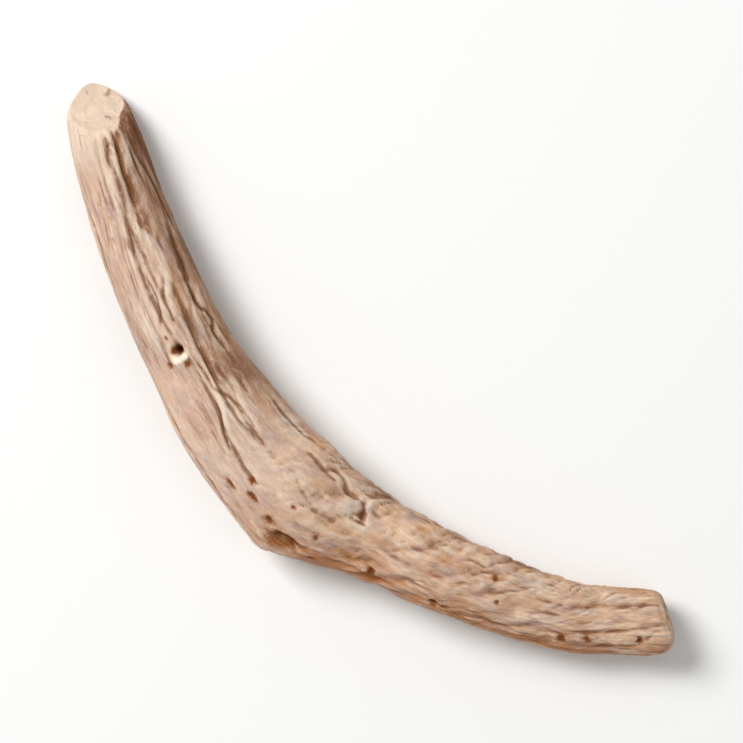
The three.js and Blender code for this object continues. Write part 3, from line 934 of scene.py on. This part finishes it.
class Nodes:
    """A material's nodes, made by short calls."""

    def __init__(self, name):
        self.material = bpy.data.materials.new(name)
        self.material.use_nodes = True
        self.tree = self.material.node_tree
        self.shader = self.tree.nodes["Principled BSDF"]

    def add(self, kind, inputs=None, **settings):
        node = self.tree.nodes.new(kind)
        for key, value in settings.items():
            setattr(node, key, value)
        for key, value in (inputs or {}).items():
            if isinstance(value, bpy.types.NodeSocket):
                self.tree.links.new(value, node.inputs[key])
            else:
                node.inputs[key].default_value = value
        return node

    def attribute(self, name):
        return self.add("ShaderNodeAttribute", attribute_name=name).outputs["Fac"]

    def maths(self, operation, a, b=0.0):
        return self.add("ShaderNodeMath", {0: a, 1: b}, operation=operation).outputs[0]

    def ramp(self, value, low, high):
        """0 below low and 1 above high."""
        inputs = {"Value": value, "From Min": low, "From Max": high}
        return self.add("ShaderNodeMapRange", inputs, interpolation_type="SMOOTHSTEP").outputs["Result"]

    def stretched(self, vector, along, across):
        """The vector in cells that are 1/along millimetres long and 1/across millimetres wide."""
        inputs = {0: vector, 1: (along, across, across)}
        return self.add("ShaderNodeVectorMath", inputs, operation="MULTIPLY").outputs[0]

    def noise(self, vector, detail):
        inputs = {"Vector": vector, "Scale": 1.0, "Detail": detail, "Roughness": DETAIL_STRENGTH}
        return self.add("ShaderNodeTexNoise", inputs).outputs["Fac"]

    def times(self, a, b):
        return self.maths("MULTIPLY", a, b)

    def ragged(self, value, noise, amount, low, high):
        """The ramp of a value whose edges a fine noise makes uneven."""
        uneven = self.maths("ADD", value, self.times(self.off_middle(noise), amount))
        return self.ramp(uneven, low, high)

    def off_middle(self, noise):
        return self.maths("SUBTRACT", noise, 0.5)

    def line(self, noise, width):
        """1 along the lines where a noise is at its middle, fading to 0 at the width, in noise values."""
        away = self.maths("ABSOLUTE", self.off_middle(noise))
        return self.maths("SUBTRACT", 1.0, self.ramp(away, 0.0, width))

    def mix(self, amount, first, second):
        node = self.add("ShaderNodeMix", {"Factor": amount}, data_type="RGBA")
        for socket, value in (("A", first), ("B", second)):
            target = [s for s in node.inputs if s.name == socket and s.type == "RGBA"][0]
            if isinstance(value, bpy.types.NodeSocket):
                self.tree.links.new(value, target)
            else:
                target.default_value = colour(value)
        return [s for s in node.outputs if s.type == "RGBA"][0]


def colour(rgb):
    """Blender's linear colour from 0 to 255 screen values."""
    parts = [v / 255 for v in rgb]
    return [v / 12.92 if v <= 0.04045 else ((v + 0.055) / 1.055) ** 2.4 for v in parts] + [1]


# Screen colours, from 0 to 255
TAN = (201, 156, 126)
LIGHT_TAN = (228, 194, 165)
GOLD_TAN = (200, 155, 108)
LILAC_TAN = (186, 157, 149)
COOL_CREAM = (208, 181, 165)
BROWN = (114, 72, 38)
SHADED_VALLEY_BROWN = (138, 90, 58)
LINE_BROWN = (116, 73, 36)
PIT_BROWN = (118, 64, 28)
CREAM = (230, 210, 190)
BRIGHT_CREAM = (250, 234, 212)
LILAC_GREY = (166, 140, 133)
# Painted shade for the rim of the far cut
RIM_SHADE_BROWN = (128, 106, 94)
WARM = (186, 117, 64)
RUST = (150, 88, 42)
GOLD = (178, 122, 62)
UMBER = (114, 64, 38)

# Tints over the whole wood, then those in patches: attribute, colour and, for the first, how much of it
# shows. The shade wash is painted shade and stain together on the hollow side.
WASHES = (("warm", WARM, 0.8), ("grey", LILAC_GREY, 0.4), ("shade", UMBER, 0.8), ("pale", CREAM, 0.85))
PATCH_TINTS = (("cream", CREAM), ("umber", UMBER), ("lilac", LILAC_GREY), ("gold", GOLD))
PATCH_AMOUNT = 0.85

DETAIL_STRENGTH = 0.55  # how strong each finer layer of a material's noise is
BARK_ROUGHNESS = 0.85
BARK_SPECULAR = 0.08
BUMP_STRENGTH = 0.8
BUMP_DISTANCE = 0.00016  # metres


def bark_colour(n, grain, grains, fibres, lines):
    """Tan wood, tinted in patches, then painted highlight on the crests and painted shade in the hollows,
    then fine marks.
    """
    lined, crinkled = n.attribute("lined"), n.attribute("crinkled")
    mottles = n.noise(n.stretched(grain, 0.16, 0.6), 5)
    tints = n.noise(n.stretched(grain, 0.36, 0.8), 6)
    streaks = n.noise(n.stretched(grain, 0.45, 2.6), 4)
    flecks = n.noise(n.stretched(grain, 0.6, 1.7), 4)
    # lit is lower where the hollow side has painted shade, so crests, flecks and lilac show less there
    lit = n.maths("SUBTRACT", 1.0, n.times(n.attribute("shade"), 0.75))
    rare = n.maths("SUBTRACT", 1.0, n.times(n.attribute("cool"), 0.6))
    lilac = n.maths("SUBTRACT", 1.0, n.ramp(tints, 0.36, 0.5))

    base = n.mix(n.ramp(mottles, 0.38, 0.62), TAN, LIGHT_TAN)
    base = n.mix(n.times(n.attribute("cool"), 0.55), base, COOL_CREAM)
    base = n.mix(n.times(n.ramp(tints, 0.5, 0.64), n.times(rare, 0.45)), base, GOLD_TAN)
    base = n.mix(n.times(lilac, n.times(lit, 0.5)), base, LILAC_TAN)
    for tint, full, amount in WASHES:
        base = n.mix(n.times(n.attribute(tint), amount), base, full)
    for tint, full in PATCH_TINTS:
        patch = n.ragged(n.attribute(tint), grains, 0.5, 0.1, 0.9)
        base = n.mix(n.times(patch, PATCH_AMOUNT), base, full)
    # Painted highlight on the crests
    base = n.mix(n.times(n.attribute("crest_highlight"), n.times(lit, 0.6)), base, CREAM)
    base = n.mix(n.ragged(n.attribute("rust"), grains, 0.7, 0.15, 0.8), base, RUST)
    # Painted shade in the hollows
    hollow_shading = n.ragged(n.attribute("hollow_shade"), grains, 0.4, 0.0, 0.9)
    base = n.mix(n.times(hollow_shading, 0.75), base, n.mix(crinkled, BROWN, SHADED_VALLEY_BROWN))
    base = n.mix(n.times(n.attribute("slits"), 0.45), base, BROWN)
    base = n.mix(n.times(n.ramp(streaks, 0.5, 0.66), n.times(n.times(lined, rare), 0.35)), base, BROWN)
    base = n.mix(n.times(n.ramp(flecks, 0.55, 0.68), n.times(lit, 0.4)), base, CREAM)
    base = n.mix(n.times(n.ramp(fibres, 0.55, 0.75), 0.25), base, CREAM)
    base = n.mix(n.times(n.maths("SUBTRACT", 1.0, n.ramp(fibres, 0.25, 0.45)), 0.15), base, BROWN)
    base = n.mix(n.times(lines, 0.5), base, GOLD)
    # Painted shade round the rim of the far cut
    base = n.mix(n.times(n.attribute("rim"), 0.85), base, RIM_SHADE_BROWN)
    base = n.mix(n.times(n.ragged(n.attribute("cracked"), grains, 0.6, 0.15, 1.05), 0.85), base, LINE_BROWN)
    # The brightest lip: pale, with a painted highlight
    base = n.mix(n.ragged(n.attribute("bright"), grains, 0.4, 0.4, 1.0), base, BRIGHT_CREAM)
    return n.mix(n.times(n.ragged(n.attribute("dark"), grains, 0.7, 0.15, 0.95), 0.9), base, PIT_BROWN)


def bark_material():
    n = Nodes("dried_root_bark")
    grain = n.add("ShaderNodeAttribute", attribute_name="grain").outputs["Vector"]
    fibres = n.noise(n.stretched(grain, 1.1, 6.5), 4)
    grains = n.noise(n.stretched(grain, 5, 5), 3)
    gaps = n.ramp(n.noise(n.stretched(grain, 0.2, 0.5), 1), 0.45, 0.6)
    lines = n.line(n.noise(n.stretched(grain, 0.11, 0.9), 3), 0.02)
    lines = n.times(n.times(lines, gaps), n.attribute("lined"))
    base = bark_colour(n, grain, grains, fibres, lines)

    height = n.maths("ADD", fibres, n.times(grains, 0.6))
    height = n.maths("SUBTRACT", height, n.times(lines, 0.8))
    bump = n.add("ShaderNodeBump", {"Height": height, "Strength": BUMP_STRENGTH, "Distance": BUMP_DISTANCE})
    n.tree.links.new(base, n.shader.inputs["Base Color"])
    n.tree.links.new(bump.outputs["Normal"], n.shader.inputs["Normal"])
    n.shader.inputs["Roughness"].default_value = BARK_ROUGHNESS
    n.shader.inputs["Specular IOR Level"].default_value = BARK_SPECULAR
    return n.material


FLOOR_HALF = 1.5  # metres from the middle to an edge
FLOOR_COLOUR = (0.9, 0.9, 0.89, 1)
FLOOR_ROUGHNESS = 0.8


def floor_material():
    n = Nodes("pale_floor")
    n.shader.inputs["Base Color"].default_value = FLOOR_COLOUR
    n.shader.inputs["Roughness"].default_value = FLOOR_ROUGHNESS
    return n.material


def make_root():
    root = bpy.data.objects.new("root_bark", root_mesh())
    bpy.context.scene.collection.objects.link(root)
    root.data.materials.append(bark_material())
    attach(root, "root")
    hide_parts("root")


def make_floor():
    half = FLOOR_HALF
    corners = [(-half, -half, 0), (half, -half, 0), (half, half, 0), (-half, half, 0)]
    mesh = bpy.data.meshes.new("floor")
    mesh.from_pydata(corners, [], [(0, 1, 2, 3)])
    floor = bpy.data.objects.new("floor", mesh)
    bpy.context.scene.collection.objects.link(floor)
    floor.data.materials.append(floor_material())


# The photo looks straight down, and the root's chord runs down to the right across it
CAMERA_AZIMUTH = math.radians(43.5)
CAMERA_ELEVATION = math.radians(88)
CAMERA_DISTANCE = 0.42  # metres
CAMERA_LENS = 180
# Right and up from the middle of the solid's box, to the middle of the root as this view frames it
CAMERA_SHIFT = 6.7 * MM

# Lamps: direction from the root in the view's axes, then distance and size in metres, and power in watts
KEY_LAMP = dict(right=-0.75, up=0.55, above=0.95, distance=0.9, size=0.4, power=7.6)
FILL_LAMP = dict(right=0.7, up=-0.4, above=1, distance=1.1, size=0.9, power=1.4)
WORLD_STRENGTH = 0.36


def view_axes():
    """Right, up and towards-the-camera directions of the main view."""
    flat = Vector((math.sin(CAMERA_AZIMUTH), -math.cos(CAMERA_AZIMUTH), 0))
    back = flat * math.cos(CAMERA_ELEVATION) + Vector((0, 0, math.sin(CAMERA_ELEVATION)))
    right = Vector((math.cos(CAMERA_AZIMUTH), math.sin(CAMERA_AZIMUTH), 0))
    return right, back.cross(right), back


def make_camera():
    right, up, back = view_axes()
    data = bpy.data.cameras.new("camera")
    data.lens = CAMERA_LENS
    camera = bpy.data.objects.new("camera", data)
    middle = (CAD_LOW + CAD_HIGH) / 2 + (right + up) * CAMERA_SHIFT
    camera.location = middle + back * CAMERA_DISTANCE
    camera.rotation_euler = (-back).to_track_quat("-Z", "Y").to_euler()
    bpy.context.scene.collection.objects.link(camera)
    bpy.context.scene.camera = camera


def soft_light(name, right, up, above, distance, size, power):
    """A square lamp in that direction from the root, facing it."""
    to_right, to_top, _ = view_axes()
    direction = to_right * right + to_top * up + Vector((0, 0, 1)) * above
    data = bpy.data.lights.new(name, "AREA")
    data.size = size
    data.energy = power
    lamp = bpy.data.objects.new(name, data)
    lamp.location = direction.normalized() * distance
    lamp.rotation_euler = direction.to_track_quat("Z", "Y").to_euler()
    bpy.context.scene.collection.objects.link(lamp)


def make_lights():
    soft_light("key", **KEY_LAMP)
    soft_light("fill", **FILL_LAMP)
    world = bpy.data.worlds.new("studio")
    world.use_nodes = True
    world.node_tree.nodes["Background"].inputs["Color"].default_value = (1, 1, 1, 1)
    world.node_tree.nodes["Background"].inputs["Strength"].default_value = WORLD_STRENGTH
    bpy.context.scene.world = world


bpy.context.scene.view_settings.view_transform = "Standard"
make_camera()
make_lights()
make_floor()
make_root()
